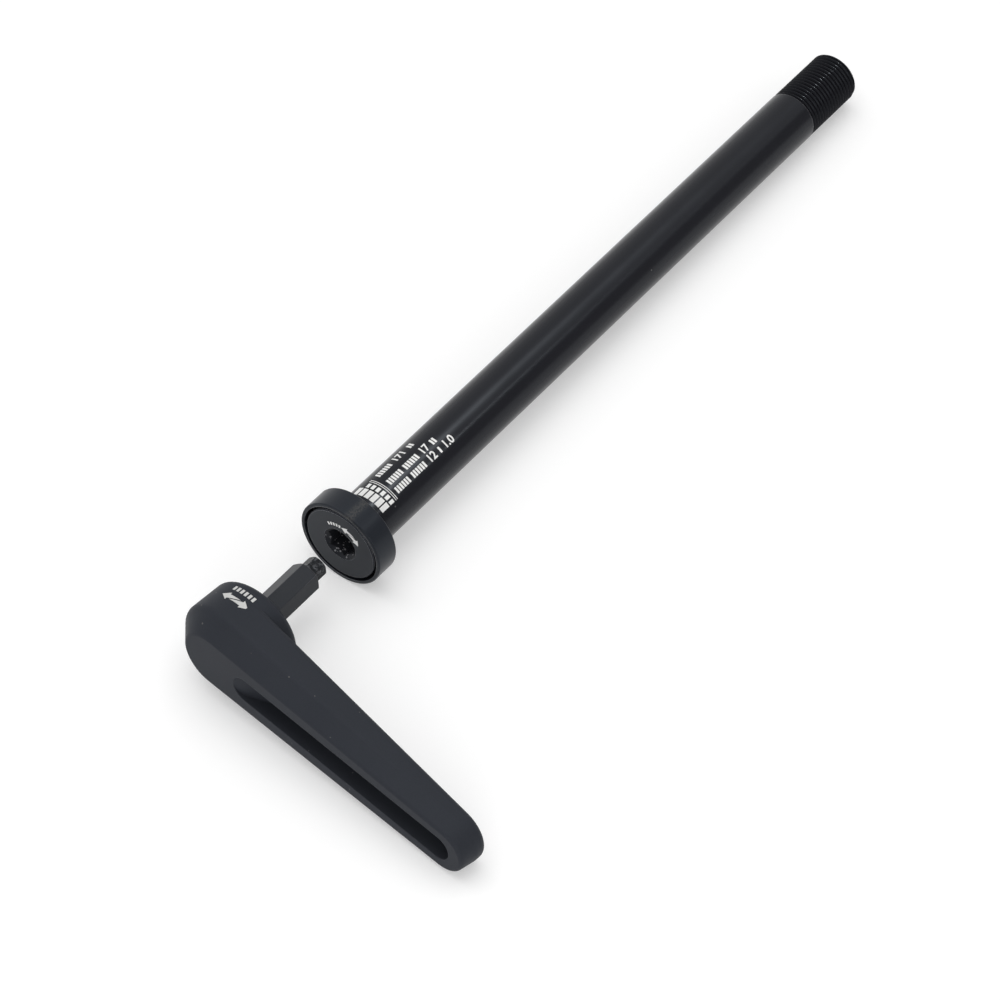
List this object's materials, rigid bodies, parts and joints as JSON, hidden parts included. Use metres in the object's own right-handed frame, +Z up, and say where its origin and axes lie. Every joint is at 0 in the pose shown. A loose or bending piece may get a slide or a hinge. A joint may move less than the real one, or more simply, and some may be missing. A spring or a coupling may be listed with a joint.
{
  "type": "bicycle thru axle",
  "caption": "Hollow 12 mm bicycle thru axle with a threaded end, a free-turning head collar, a hex socket head and a separate plug-in lever drawn out of the socket.",
  "frame": {"origin": "on the surface that the part lies on, under the middle of its box", "axes": "+X from the head to the threaded end, +Y away from the lever's handle, +Z up"},
  "size_m": [0.2214, 0.0768, 0.0213],
  "materials": {
    "anodised_shaft": "semi-gloss black anodised",
    "anodised_collar": "semi-gloss black anodised",
    "forged_lever": "satin black anodised forging",
    "key_steel": "black oxide, rough on the stub",
    "ring_steel": "bright spring wire"
  },
  "bodies": {
    "axle": {"axle_shaft": "anodised_shaft", "collar_ring": "ring_steel"},
    "collar": {"head_collar": "anodised_collar"},
    "lever": {"lever_body": "forged_lever", "hex_key": "key_steel"}
  },
  "joints": [
    {"name": "collar_spin", "type": "hinge", "parent": "axle", "child": "collar", "pos_m": [-0.06315, 0.02742, 0.01006], "axis": [0.9997, 0, -0.0237], "continuous": true},
    {"name": "lever_plug", "type": "slide", "parent": "axle", "child": "lever", "axis": [0.9997, 0, -0.0237], "range_m": [0, 0.0246]}
  ]
}
